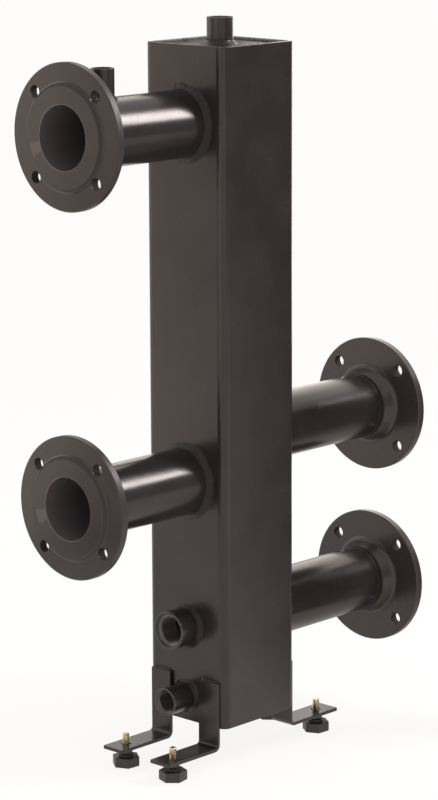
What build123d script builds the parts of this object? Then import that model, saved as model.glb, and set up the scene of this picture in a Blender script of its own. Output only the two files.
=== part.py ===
from build123d import *
import os

# Hydraulic separator: an upright square chamber of welded steel with two flanged
# pipe stubs on each side, four threaded sockets and four levelling feet.
# Millimetres, Z up. The origin is the point of the floor under the chamber's axis.
# Pipe axes run along X: left is -X, right is +X, front is -Y and rear is +Y.

# Chamber: square hollow section, closed at each end by a plate welded inside it
CHAMBER_SIDE = 120.0
CHAMBER_WALL = 5.0
CHAMBER_CORNER = 10.0
CHAMBER_HEIGHT = 775.0
CAP_THICKNESS = 5.0
CAP_RECESS = 3.0
CAP_CLEARANCE = 0.2
CAP_WELD_LEG = 2.6

# Pipe stubs: how far the flange faces stand from the chamber's axis, and where the
# stubs' axes are above the chamber's lower edge, or, for the first, below its upper one
PIPE_DIAMETER = 76.1
PIPE_WALL = 2.9
LEFT_REACH = 245.0
RIGHT_REACH = 272.5
LEFT_UPPER_DROP = 87.0
LEFT_LOWER_HEIGHT = 283.0
RIGHT_UPPER_HEIGHT = 323.0
RIGHT_LOWER_HEIGHT = 109.0
ROOT_WELD_LEG = 5.5

# Welding-neck flanges
FLANGE_DIAMETER = 160.0
FLANGE_THICKNESS = 14.5
FLANGE_EDGE_CHAMFER = 1.2
RAISED_FACE_DIAMETER = 110.0
RAISED_FACE_HEIGHT = 4.5
RAISED_FACE_BLEND = 3.4
FACE_BORE_CHAMFER = 0.5
HUB_DIAMETER = 90.0
HUB_FILLET = 7.0
NECK_LENGTH = 34.0
NECK_LAND = 3.5
BOLT_CIRCLE = 130.0
BOLT_COUNT = 4
BOLT_HOLE_DIAMETER = 14.0
FIRST_BOLT_ANGLE = 45.0
LEFT_LOWER_FLANGE_TURN = -4.3

# Butt weld between a neck and its pipe, in a V of which the root stays closed
BUTT_ROOT_FACE = 1.0
BUTT_HALF_WIDTH = 2.2
BUTT_CROWN = 1.1
BUTT_CROWN_HALF_WIDTH = 1.0

# Threaded sockets: outside, bore at the thread's crests, length and funnel mouth
VENT_DIAMETER = 30.0
VENT_BORE = 18.6
VENT_LENGTH = 30.0
VENT_FUNNEL_DEPTH = 2.0
GAUGE_DIAMETER = 26.0
GAUGE_BORE = 18.6
GAUGE_RISE = 32.0
GAUGE_FUNNEL_DEPTH = 1.6
GAUGE_FROM_FACE = 61.0
GAUGE_WELD_LEG = 3.5
DRAIN_DIAMETER = 44.0
DRAIN_BORE = 30.3
DRAIN_LENGTH = 29.0
DRAIN_FUNNEL_DEPTH = 3.0
DRAIN_HEIGHT = 112.5
PROBE_DIAMETER = 32.0
PROBE_BORE = 24.1
PROBE_LENGTH = 36.0
PROBE_FUNNEL_DEPTH = 3.6
PROBE_HEIGHT = 29.5
SOCKET_LIP = 1.0
FUNNEL_STEP = 1.4
SOCKET_EDGE = 0.4
SOCKET_WELD_LEG = 5.0
WALL_HOLE_STEP = 1.2

# Foot brackets: flat bar bent to an angle
BRACKET_WIDTH = 30.0
BRACKET_THICKNESS = 4.0
BRACKET_BEND_RADIUS = 4.0
BRACKET_OVERLAP = 54.0
BRACKET_DROP = 22.0
BRACKET_REACH = 84.0
BRACKET_OFFSET = 37.5
BRACKET_CORNER = 1.5
BRACKET_WELD_LEG = 2.0
STUD_REACH = 62.0
STUD_HOLE_DIAMETER = 11.0

# Levelling feet
NUT_ACROSS_FLATS = 13.0
NUT_HEIGHT = 6.5
NUT_CHAMFER = 0.8
STUD_DIAMETER = 8.0
STUD_CLEARANCE = 0.05
STUD_RISE = 12.5
STUD_CHAMFER = 1.0
STUD_SEAT_DEPTH = 8.0
NUT_TO_COLLAR = 0.7
COLLAR_DIAMETER = 17.0
COLLAR_HEIGHT = 2.8
BASE_ACROSS_FLATS = 28.0
BASE_HEIGHT = 11.5
BASE_EDGE = 0.5

# How each base happens to be turned about its stud, in degrees
BASE_TURNS = {
    "left_front": 11.5,
    "left_rear": -5.0,
    "right_front": -4.0,
    "right_rear": 10.0,
}

# Working values: how many times longer a cutter is than what it cuts, and the
# distance within which two corners count as one
CUTTER_LENGTHS = 4
SAME_PLACE = 0.01

# Places that follow from the sizes above
PLATE_UNDERSIDE = BASE_HEIGHT + COLLAR_HEIGHT + NUT_TO_COLLAR + NUT_HEIGHT
PLATE_TOP = PLATE_UNDERSIDE + BRACKET_THICKNESS
CHAMBER_FOOT = PLATE_TOP + BRACKET_DROP
CHAMBER_TOP = CHAMBER_FOOT + CHAMBER_HEIGHT
CHAMBER_FACE = CHAMBER_SIDE / 2
PIPE_RADIUS = PIPE_DIAMETER / 2
PIPE_BORE_RADIUS = PIPE_RADIUS - PIPE_WALL
GAUGE_REACH = LEFT_REACH - GAUGE_FROM_FACE
SIDES = {"left": -1, "right": 1}
ROWS = {"front": -1, "rear": 1}
STUBS = {
    "left_upper": (LEFT_REACH, CHAMBER_HEIGHT - LEFT_UPPER_DROP),
    "left_lower": (LEFT_REACH, LEFT_LOWER_HEIGHT),
    "right_upper": (RIGHT_REACH, RIGHT_UPPER_HEIGHT),
    "right_lower": (RIGHT_REACH, RIGHT_LOWER_HEIGHT),
}


def side_of(name):
    """-1 for a left piece, +1 for a right one."""
    return SIDES[name.split("_")[0]]


def outline(points):
    """Closed flat face in the XY plane."""
    return make_face(Polyline(*points, close=True))


def corners_at(face, points):
    """The face's corners that lie at the given places."""
    places = [Vector(*point) for point in points]
    return [v for v in face.vertices() if any((Vector(*v) - p).length < SAME_PLACE for p in places)]


def turned_on_x(face, side, height):
    """Revolve a face about the X axis, send it to its side and lift it to its height."""
    return Pos(0, 0, CHAMBER_FOOT + height) * to_side(revolve(face, Axis.X), side)


def to_side(solid, side):
    """A piece drawn on the right, mirrored if it belongs on the left."""
    return solid if side > 0 else mirror(solid, about=Plane.YZ)


def square_prism(side, corner, length):
    """Rounded square bar standing on Z = 0."""
    return extrude(RectangleRounded(side, side, corner), amount=length)


def upright_rod(foot, diameter, length):
    """Round bar about the Z axis that stands on a height."""
    rod = Cylinder(diameter / 2, length, align=(Align.CENTER, Align.CENTER, Align.MIN))
    return Pos(0, 0, foot) * rod


def hexagon(across_flats, length):
    """Hexagonal bar standing on Z = 0."""
    return extrude(RegularPolygon(across_flats / 2, 6, major_radius=False), amount=length)


# Chamber

def chamber_void(length):
    """The room inside the square section."""
    inner_side = CHAMBER_SIDE - 2 * CHAMBER_WALL
    return square_prism(inner_side, CHAMBER_CORNER - CHAMBER_WALL, length)


def chamber_tube():
    """Square hollow section with a hole in its wall for each stub and side socket."""
    tube = square_prism(CHAMBER_SIDE, CHAMBER_CORNER, CHAMBER_HEIGHT) - chamber_void(CHAMBER_HEIGHT)
    tube = Pos(0, 0, CHAMBER_FOOT) * tube
    for name, (_, height) in STUBS.items():
        tube -= wall_drill(side_of(name), height, PIPE_BORE_RADIUS)
    tube -= wall_drill(-1, DRAIN_HEIGHT, DRAIN_BORE / 2 - WALL_HOLE_STEP)
    tube -= wall_drill(-1, PROBE_HEIGHT, PROBE_BORE / 2 - WALL_HOLE_STEP)
    return tube


def wall_drill(side, height, radius):
    """Cutter through one side wall of the chamber."""
    drill = Rot(0, 90, 0) * Cylinder(radius, CUTTER_LENGTHS * CHAMBER_WALL)
    return Pos(side * (CHAMBER_FACE - CHAMBER_WALL / 2), 0, CHAMBER_FOOT + height) * drill


def cap_plate():
    """Plate that drops into the end of the square section, lying on Z = 0."""
    gap = CHAMBER_WALL + CAP_CLEARANCE
    return square_prism(CHAMBER_SIDE - 2 * gap, CHAMBER_CORNER - gap, CAP_THICKNESS)


def cap_weld():
    """Fillet bead round the inside of the section, with its foot on Z = 0."""
    inner_side = CHAMBER_SIDE - 2 * CHAMBER_WALL
    corner = CHAMBER_CORNER - CHAMBER_WALL
    foot_side = inner_side - 2 * CAP_WELD_LEG
    foot = RectangleRounded(foot_side, foot_side, corner - CAP_WELD_LEG)
    rim = RectangleRounded(inner_side, inner_side, corner)
    throat = loft([foot, Pos(0, 0, CAP_WELD_LEG) * rim])
    return extrude(rim, amount=CAP_WELD_LEG) - throat


def top_cap():
    """Top plate with the hole under the vent socket."""
    plate = Pos(0, 0, CHAMBER_TOP - CAP_RECESS - CAP_THICKNESS) * cap_plate()
    hole = Cylinder(VENT_BORE / 2 - WALL_HOLE_STEP, CUTTER_LENGTHS * CAP_THICKNESS)
    return plate - Pos(0, 0, CHAMBER_TOP - CAP_RECESS) * hole


def bottom_cap():
    return Pos(0, 0, CHAMBER_FOOT + CAP_RECESS) * cap_plate()


def top_cap_weld():
    return Pos(0, 0, CHAMBER_TOP - CAP_RECESS) * cap_weld()


def bottom_cap_weld():
    return Pos(0, 0, CHAMBER_FOOT + CAP_RECESS) * Rot(180, 0, 0) * cap_weld()


# Pipe stubs and flanges, drawn as (distance along X, radius) for the right-hand side

def weld_joint(reach):
    """Distance from the chamber's axis at which a neck meets its pipe."""
    return reach - NECK_LENGTH


def pipe_stub(name):
    """Pipe from the chamber's wall to the neck, bevelled for the butt weld."""
    reach, height = STUBS[name]
    joint = weld_joint(reach)
    root_radius = PIPE_BORE_RADIUS + BUTT_ROOT_FACE
    face = outline([
        (CHAMBER_FACE, PIPE_BORE_RADIUS),
        (joint, PIPE_BORE_RADIUS),
        (joint, root_radius),
        (joint - BUTT_HALF_WIDTH, PIPE_RADIUS),
        (CHAMBER_FACE, PIPE_RADIUS),
    ])
    pipe = turned_on_x(face, side_of(name), height)
    if name == "left_upper":
        hole = Cylinder(GAUGE_BORE / 2, CUTTER_LENGTHS * PIPE_WALL)
        pipe -= Pos(-GAUGE_REACH, 0, pipe_axis(name) + PIPE_RADIUS) * hole
    return pipe


def pipe_axis(name):
    """Height of a stub's axis above the floor."""
    return CHAMBER_FOOT + STUBS[name][1]


def root_weld(name):
    """Fillet bead where a pipe meets the chamber."""
    face = outline([
        (CHAMBER_FACE, PIPE_RADIUS),
        (CHAMBER_FACE + ROOT_WELD_LEG, PIPE_RADIUS),
        (CHAMBER_FACE, PIPE_RADIUS + ROOT_WELD_LEG),
    ])
    return turned_on_x(face, side_of(name), STUBS[name][1])


def butt_weld(name):
    """Bead that fills the V between neck and pipe and stands a little proud."""
    reach, height = STUBS[name]
    joint = weld_joint(reach)
    root = (joint, PIPE_BORE_RADIUS + BUTT_ROOT_FACE)
    crown = PIPE_RADIUS + BUTT_CROWN
    face = outline([
        (joint - BUTT_HALF_WIDTH, PIPE_RADIUS),
        root,
        (joint + BUTT_HALF_WIDTH, PIPE_RADIUS),
        (joint + BUTT_CROWN_HALF_WIDTH, crown),
        (joint - BUTT_CROWN_HALF_WIDTH, crown),
    ])
    return turned_on_x(face, side_of(name), height)


def flange(name):
    """Welding-neck flange with raised face, blended hub and four bolt holes."""
    reach, height = STUBS[name]
    joint = weld_joint(reach)
    rim_radius = FLANGE_DIAMETER / 2
    disc_back = reach - FLANGE_THICKNESS
    disc_front = reach - RAISED_FACE_HEIGHT
    raised_radius = RAISED_FACE_DIAMETER / 2
    raised_foot = (disc_front, raised_radius + RAISED_FACE_BLEND)
    hub_foot = (disc_back, HUB_DIAMETER / 2)
    face = outline([
        (joint, PIPE_BORE_RADIUS),
        (reach - FACE_BORE_CHAMFER, PIPE_BORE_RADIUS),
        (reach, PIPE_BORE_RADIUS + FACE_BORE_CHAMFER),
        (reach, raised_radius),
        raised_foot,
        (disc_front, rim_radius),
        (disc_back, rim_radius),
        hub_foot,
        (joint + BUTT_HALF_WIDTH + NECK_LAND, PIPE_RADIUS),
        (joint + BUTT_HALF_WIDTH, PIPE_RADIUS),
        (joint, PIPE_BORE_RADIUS + BUTT_ROOT_FACE),
    ])
    rim_corners = [(disc_front, rim_radius), (disc_back, rim_radius)]
    face = chamfer(corners_at(face, rim_corners), FLANGE_EDGE_CHAMFER)
    face = fillet(corners_at(face, [raised_foot]), RAISED_FACE_BLEND)
    face = fillet(corners_at(face, [hub_foot]), HUB_FILLET)
    turn = LEFT_LOWER_FLANGE_TURN if name == "left_lower" else 0.0
    return turned_on_x(face, side_of(name), height) - bolt_holes(name, turn)


def bolt_holes(name, turn):
    """Cutters for one flange's bolt holes."""
    drills = []
    for index in range(BOLT_COUNT):
        angle = FIRST_BOLT_ANGLE + turn + index * 360 / BOLT_COUNT
        drill = Rot(0, 90, 0) * Cylinder(BOLT_HOLE_DIAMETER / 2, CUTTER_LENGTHS * FLANGE_THICKNESS)
        on_circle = Rot(angle, 0, 0) * Pos(0, BOLT_CIRCLE / 2, 0) * drill
        drills.append(Pos(side_of(name) * STUBS[name][0], 0, pipe_axis(name)) * on_circle)
    return drills


# Threaded sockets, drawn as (radius, height) and stood on Z = 0

def socket(diameter, bore, length, funnel_depth):
    """Round weld-on socket with a plain bore and a funnel-shaped mouth."""
    radius = diameter / 2
    funnel_radius = bore / 2 + FUNNEL_STEP
    mouth_edge = (radius, length)
    face = outline([
        (bore / 2, 0),
        (radius, 0),
        mouth_edge,
        (radius - SOCKET_LIP, length),
        (funnel_radius, length - funnel_depth),
        (bore / 2, length - funnel_depth - FUNNEL_STEP),
    ])
    face = chamfer(corners_at(face, [mouth_edge]), SOCKET_EDGE)
    return revolve(Rot(90, 0, 0) * face, Axis.Z)


def socket_weld(diameter, leg):
    """Fillet bead round the foot of a socket that stands on a flat."""
    radius = diameter / 2
    face = outline([(radius, 0), (radius + leg, 0), (radius, leg)])
    return revolve(Rot(90, 0, 0) * face, Axis.Z)


def on_left_wall(solid, height):
    """Stand a piece on the chamber's left face, pointing outwards."""
    return Pos(-CHAMBER_FACE, 0, CHAMBER_FOOT + height) * Rot(0, -90, 0) * solid


def on_top_cap(solid):
    return Pos(0, 0, CHAMBER_TOP - CAP_RECESS) * solid


def on_upper_left_pipe(solid):
    """Move a piece from the origin to where the gauge socket's axis meets the pipe's."""
    return Pos(-GAUGE_REACH, 0, pipe_axis("left_upper")) * solid


def saddle():
    """The length of pipe, without its bore, that carries the gauge socket."""
    return Rot(0, 90, 0) * Cylinder(PIPE_RADIUS, CUTTER_LENGTHS * GAUGE_DIAMETER)


def gauge_socket():
    """Socket on top of the upper left pipe, its foot shaped to the pipe."""
    length = PIPE_RADIUS + GAUGE_RISE
    upright = socket(GAUGE_DIAMETER, GAUGE_BORE, length, GAUGE_FUNNEL_DEPTH)
    return on_upper_left_pipe(upright - saddle())


def gauge_socket_weld():
    """Bead of even width round the gauge socket, following the curve of the pipe."""
    length = PIPE_RADIUS + GAUGE_RISE
    post = upright_rod(0, GAUGE_DIAMETER, length)
    joined = saddle() + post
    seam = joined.edges().filter_by(GeomType.BSPLINE)
    return on_upper_left_pipe(chamfer(seam, GAUGE_WELD_LEG) - saddle() - post)


# Foot brackets

def bracket_places():
    """Name, side and row of each of the four feet."""
    for side_name, side in SIDES.items():
        for row_name, row in ROWS.items():
            yield f"{side_name}_{row_name}", side, row


def bracket(side, row):
    """Bent flat bar: an upright leg on the chamber and a level leg with the stud hole."""
    end = CHAMBER_FACE + BRACKET_REACH
    leg_face = CHAMBER_FACE + BRACKET_THICKNESS
    inner_corner = (leg_face, PLATE_TOP)
    outer_corner = (CHAMBER_FACE, PLATE_UNDERSIDE)
    face = outline([
        outer_corner,
        (end, PLATE_UNDERSIDE),
        (end, PLATE_TOP),
        inner_corner,
        (leg_face, CHAMBER_FOOT + BRACKET_OVERLAP),
        (CHAMBER_FACE, CHAMBER_FOOT + BRACKET_OVERLAP),
    ])
    face = fillet(corners_at(face, [inner_corner]), BRACKET_BEND_RADIUS)
    face = fillet(corners_at(face, [outer_corner]), BRACKET_BEND_RADIUS + BRACKET_THICKNESS)
    bar = extrude(Rot(90, 0, 0) * face, amount=BRACKET_WIDTH / 2, both=True)
    bar = fillet(bar.edges().filter_by(Axis.Z).group_by(Axis.X)[-1], BRACKET_CORNER)
    hole = Cylinder(STUD_HOLE_DIAMETER / 2, CUTTER_LENGTHS * BRACKET_THICKNESS)
    bar -= Pos(CHAMBER_FACE + STUD_REACH, 0, PLATE_TOP) * hole
    return place_foot_piece(bar, side, row)


def bracket_weld(side, row):
    """Beads over the leg's upper end and under the chamber's lower edge."""
    top = CHAMBER_FOOT + BRACKET_OVERLAP
    upper = outline([
        (CHAMBER_FACE, top),
        (CHAMBER_FACE + BRACKET_WELD_LEG, top),
        (CHAMBER_FACE, top + BRACKET_WELD_LEG),
    ])
    lower = outline([
        (CHAMBER_FACE, CHAMBER_FOOT),
        (CHAMBER_FACE, CHAMBER_FOOT - BRACKET_WELD_LEG),
        (CHAMBER_FACE - BRACKET_WELD_LEG, CHAMBER_FOOT),
    ])
    length = BRACKET_WIDTH - 2 * BRACKET_CORNER
    beads = [extrude(Rot(90, 0, 0) * face, amount=length / 2, both=True) for face in (upper, lower)]
    return Compound(children=[place_foot_piece(bead, side, row) for bead in beads])


def place_foot_piece(solid, side, row):
    """Send a piece drawn on the right, in the middle, to its own corner."""
    return Pos(0, row * BRACKET_OFFSET, 0) * to_side(solid, side)


# Levelling feet, drawn about the Z axis at their real height

def stud_axis(side, row):
    return Pos(side * (CHAMBER_FACE + STUD_REACH), row * BRACKET_OFFSET, 0)


def weld_nut(side, row):
    """Hexagon nut under the bracket, its thread taken at the crests."""
    nut = Pos(0, 0, PLATE_UNDERSIDE - NUT_HEIGHT) * hexagon(NUT_ACROSS_FLATS, NUT_HEIGHT)
    corner_radius = NUT_ACROSS_FLATS / 3**0.5
    trim = Cylinder(corner_radius, 2 * NUT_HEIGHT)
    trim = chamfer(trim.edges().group_by(Axis.Z)[0], NUT_CHAMFER)
    nut &= Pos(0, 0, PLATE_UNDERSIDE) * trim
    bore = Cylinder(STUD_DIAMETER / 2 + STUD_CLEARANCE, CUTTER_LENGTHS * NUT_HEIGHT)
    nut -= Pos(0, 0, PLATE_UNDERSIDE) * bore
    return stud_axis(side, row) * nut


def stud(side, row):
    """Threaded stud, taken at its crests, with a chamfered free end."""
    rod = upright_rod(stud_foot(), STUD_DIAMETER, PLATE_TOP + STUD_RISE - stud_foot())
    rod = chamfer(rod.edges().group_by(Axis.Z)[-1], STUD_CHAMFER)
    return stud_axis(side, row) * rod


def stud_foot():
    """Height of the stud's lower end, inside the base."""
    return BASE_HEIGHT - STUD_SEAT_DEPTH


def foot_base(name, side, row):
    """Hexagonal plastic base with a round collar, moulded round the stud."""
    base = hexagon(BASE_ACROSS_FLATS, BASE_HEIGHT)
    levels = base.edges().group_by(Axis.Z)
    base = chamfer(levels[0] + levels[-1], BASE_EDGE)
    base += upright_rod(BASE_HEIGHT, COLLAR_DIAMETER, COLLAR_HEIGHT)
    base -= upright_rod(stud_foot(), STUD_DIAMETER, CUTTER_LENGTHS * BASE_HEIGHT)
    return stud_axis(side, row) * Rot(0, 0, BASE_TURNS[name]) * base


def build_nodes():
    """Every piece of the separator under its own name."""
    nodes = {
        "chamber_tube": chamber_tube(),
        "top_cap": top_cap(),
        "bottom_cap": bottom_cap(),
        "top_cap_weld": top_cap_weld(),
        "bottom_cap_weld": bottom_cap_weld(),
        "vent_socket": on_top_cap(socket(VENT_DIAMETER, VENT_BORE, VENT_LENGTH, VENT_FUNNEL_DEPTH)),
        "vent_socket_weld": on_top_cap(socket_weld(VENT_DIAMETER, SOCKET_WELD_LEG)),
        "gauge_socket": gauge_socket(),
        "gauge_socket_weld": gauge_socket_weld(),
        "drain_socket": on_left_wall(
            socket(DRAIN_DIAMETER, DRAIN_BORE, DRAIN_LENGTH, DRAIN_FUNNEL_DEPTH), DRAIN_HEIGHT
        ),
        "drain_socket_weld": on_left_wall(socket_weld(DRAIN_DIAMETER, SOCKET_WELD_LEG), DRAIN_HEIGHT),
        "probe_socket": on_left_wall(
            socket(PROBE_DIAMETER, PROBE_BORE, PROBE_LENGTH, PROBE_FUNNEL_DEPTH), PROBE_HEIGHT
        ),
        "probe_socket_weld": on_left_wall(socket_weld(PROBE_DIAMETER, SOCKET_WELD_LEG), PROBE_HEIGHT),
    }
    for name in STUBS:
        nodes[f"pipe_{name}"] = pipe_stub(name)
        nodes[f"flange_{name}"] = flange(name)
        nodes[f"root_weld_{name}"] = root_weld(name)
        nodes[f"butt_weld_{name}"] = butt_weld(name)
    for name, side, row in bracket_places():
        nodes[f"bracket_{name}"] = bracket(side, row)
        nodes[f"bracket_weld_{name}"] = bracket_weld(side, row)
        nodes[f"weld_nut_{name}"] = weld_nut(side, row)
        nodes[f"stud_{name}"] = stud(side, row)
        nodes[f"foot_base_{name}"] = foot_base(name, side, row)
    return nodes


os.makedirs("parts", exist_ok=True)
for node, shape in build_nodes().items():
    export_step(shape, f"parts/{node}.step")
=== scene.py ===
import math

import bmesh
import bpy
from bpy.props import FloatProperty, FloatVectorProperty, IntProperty, PointerProperty, StringProperty
from mathutils import Matrix, Vector, noise


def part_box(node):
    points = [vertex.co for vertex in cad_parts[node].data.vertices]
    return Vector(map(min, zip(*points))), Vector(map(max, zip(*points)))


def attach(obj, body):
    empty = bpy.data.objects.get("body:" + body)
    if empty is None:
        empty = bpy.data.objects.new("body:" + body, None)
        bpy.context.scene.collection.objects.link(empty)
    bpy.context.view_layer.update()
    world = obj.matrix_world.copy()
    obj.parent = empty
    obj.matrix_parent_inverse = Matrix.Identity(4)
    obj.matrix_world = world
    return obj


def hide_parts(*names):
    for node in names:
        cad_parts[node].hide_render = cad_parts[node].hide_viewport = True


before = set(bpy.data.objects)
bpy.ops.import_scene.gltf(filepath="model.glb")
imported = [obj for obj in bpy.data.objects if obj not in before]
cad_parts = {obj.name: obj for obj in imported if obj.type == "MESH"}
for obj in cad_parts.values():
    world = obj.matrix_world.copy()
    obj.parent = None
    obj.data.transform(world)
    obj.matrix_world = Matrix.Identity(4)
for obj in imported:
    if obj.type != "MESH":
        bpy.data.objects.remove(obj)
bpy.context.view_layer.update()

bl_info = {
    "name": "Hydraulic separator",
    "version": (1, 0, 0),
    "blender": (4, 5, 0),
    "location": "3D View > Sidebar > Separator",
    "description": "Dresses the welded separator: beads, threads, paint, feet and studio",
    "category": "Object",
}

MM = 0.001
X, Z = Vector((1, 0, 0)), Vector((0, 0, 1))

# Names that the frame gives
WELDMENT = "separator"
FEET = ("left_front", "left_rear", "right_front", "right_rear")
STUBS = ("left_upper", "left_lower", "right_upper", "right_lower")

# Names of finishes that several pieces share
PAINT = "stoved_black_paint"
BEAD_PAINT = "stoved_black_paint_on_bead"
BAR_PAINT = "stoved_black_paint_on_flat_bar"
ZINC = "yellow_zinc_plated_steel"
PLASTIC = "moulded_black_polyamide"

# Sizes that no node's box gives
RAISED_FACE = 4.5 * MM          # height of a flange's raised face
DISC = 10.0 * MM                # thickness of a flange's disc, behind the raised face
BOLT_CIRCLE = 65.0 * MM         # radius of the circle on which the bolt holes lie
RIM = 80.0 * MM                 # radius of a flange
STEP = 56.5 * MM                # radius of the step round the raised face, at its foot
BORE_EDGE = 36.0 * MM           # radius at which the paint begins, just outside a bore's wall
FUNNEL = 1.4 * MM               # how much wider than its thread a socket's funnel is


# Places read from the frame, in metres

def middle(node):
    """Middle of a node's box."""
    low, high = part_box(node)
    return (low + high) / 2


def side_of(name):
    """-1 for a left piece, +1 for a right one."""
    return -1 if name.startswith("left") else 1


def stub_centre(stub, x):
    """Point on a stub's axis at a distance along X."""
    return Vector((x, 0, middle(f"flange_{stub}").z))


def near_face(node, side):
    """X of the side of a node's box that is nearer to the chamber."""
    low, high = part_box(node)
    return low.x if side > 0 else high.x


# Meshes

def add_piece(name, bm, material, node, body=WELDMENT, smooth_below=35.0):
    """Turn a bmesh into a piece that stands for a node and rides on a body."""
    mesh = bpy.data.meshes.new(name)
    bmesh.ops.recalc_face_normals(bm, faces=bm.faces)
    bm.to_mesh(mesh)
    bm.free()
    mesh.shade_smooth()
    mesh.set_sharp_from_angle(angle=math.radians(smooth_below))
    mesh.materials.append(bpy.data.materials[material])
    piece = bpy.data.objects.new(name, mesh)
    bpy.context.scene.collection.objects.link(piece)
    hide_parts(node)
    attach(piece, body)
    return piece


def joined(parts):
    """One bmesh out of several, which are freed."""
    whole = bmesh.new()
    for part in parts:
        mesh = bpy.data.meshes.new("part")
        part.to_mesh(mesh)
        part.free()
        whole.from_mesh(mesh)
        bpy.data.meshes.remove(mesh)
    return whole


def closed_profile(bm, points):
    """Closed loop of vertices and edges through some points."""
    verts = [bm.verts.new(point) for point in points]
    return verts + [bm.edges.new(pair) for pair in zip(verts, verts[1:] + verts[:1])]


def rounded(centre, radius, start, end, steps=4):
    """Points of an arc in a profile, for the rounding of an edge."""
    angles = [start + (end - start) * i / steps for i in range(steps + 1)]
    return [centre + radius * Vector((math.cos(angle), math.sin(angle))) for angle in angles]


def turned(bm, points, steps=96):
    """Full turn about Z of a closed profile of (radius, height) points."""
    profile = closed_profile(bm, [Vector((r, 0, z)) for r, z in points])
    bmesh.ops.spin(
        bm, geom=profile, axis=Z, cent=(0, 0, 0), angle=math.tau, steps=steps, use_merge=True
    )
    bmesh.ops.remove_doubles(bm, verts=bm.verts, dist=MM / 1000)


def thread_ridge(bm, root, crest, pitch, bottom, top, steps=36):
    """Helical ridge from a root radius to a crest radius; a crest inside the root is a female thread."""
    foot_depth = 0.12 * MM      # how far the ridge stands inside the wall that carries it
    foot_half, crest_half = 0.44 * pitch, 0.07 * pitch
    foot = root - math.copysign(foot_depth, crest - root)
    low = bottom + pitch / 2
    shape = [
        (foot, low - foot_half), (crest, low - crest_half),
        (crest, low + crest_half), (foot, low + foot_half),
    ]
    start = closed_profile(bm, [Vector((r, 0, z)) for r, z in shape])
    count = int(((top - bottom) / pitch - 1) * steps)
    bmesh.ops.spin(
        bm, geom=start, axis=Z, cent=(0, 0, 0), dvec=(0, 0, pitch / steps),
        angle=count * math.tau / steps, steps=count,
    )
    bmesh.ops.holes_fill(bm, edges=[e for e in bm.edges if e.is_boundary], sides=len(shape))


def eased(node, name, width, material, body=WELDMENT):
    """Copy of a node with its sharp edges rounded; it stands for the node."""
    flat, sharp = math.radians(0.4), math.radians(32)
    bm = bmesh.new()
    bm.from_mesh(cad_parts[node].data)
    bmesh.ops.remove_doubles(bm, verts=bm.verts, dist=MM / 200)
    bmesh.ops.dissolve_limit(bm, angle_limit=flat, verts=bm.verts, edges=bm.edges)
    edges = [e for e in bm.edges if len(e.link_faces) == 2 and e.calc_face_angle() > sharp]
    bmesh.ops.bevel(
        bm, geom=edges, offset=width, offset_type="OFFSET", segments=2, profile=0.5,
        affect="EDGES", clamp_overlap=True, material=-1,
    )
    piece = add_piece(name, bm, material, node, body, smooth_below=50.0)
    piece.modifiers.new("flat_faces_stay_flat", "WEIGHTED_NORMAL").keep_sharp = True


# Weld beads: a grid that is laid along the seam, with its two long sides sunk in the steel

FULL_FACE, HOLLOW_FACE = 1.5, 2.7       # powers for a fillet's face; 2 would make it flat
QUICK_RATE = 4                          # how much faster a bead's quick wander goes than its slow one
QUICK_SHARE = 0.7                       # how strong the quick one is beside the slow one
QUICK_SHIFT = 0.5                       # how far it moves the ripples, in ripples


def fillet_section(leg_a, leg_b, face=FULL_FACE):
    """Bead in a corner, from one leg's toe to the other's."""
    def section(t):
        angle = t * math.pi / 2
        across, up = max(0.0, math.cos(angle)), max(0.0, math.sin(angle))
        return leg_a * across**face, leg_b * up**face
    return section


def crown_section(half_width, height, blend=1.6):
    """Bead that lies over a butt joint. The larger the blend, the flatter its toes run out."""
    def section(t):
        angle = t * math.pi
        return half_width * math.cos(angle), height * math.sin(angle) ** blend
    return section


def unevenness(u, length, welds, seed, closed):
    """A bead's size at a place along it, as a share of its legs, and its ripples' shift there."""
    place = u * length / welds.wander_length
    # Each seed reads the noise along two lines of its own
    slow_line, quick_line, apart = seed * 7.1, seed * 3.7, 5.0
    slow = noise.noise(Vector((slow_line, place, 0.0)))
    quick = noise.noise(Vector((quick_line, place * QUICK_RATE, apart)))
    swell = welds.wander * (slow + QUICK_SHARE * quick)
    shift = QUICK_SHIFT * quick
    to_end = min(u, 1 - u) * length
    if closed:
        # The wander dies away at the seam's ends, so that they meet
        return 1 + swell * min(1.0, to_end / welds.wander_length), shift
    if to_end >= welds.end_length:
        return 1 + swell, shift
    roundness = math.sqrt(1 - (1 - to_end / welds.end_length) ** 2)
    return (1 + swell) * (welds.end_size + (1 - welds.end_size) * roundness), shift


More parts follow.
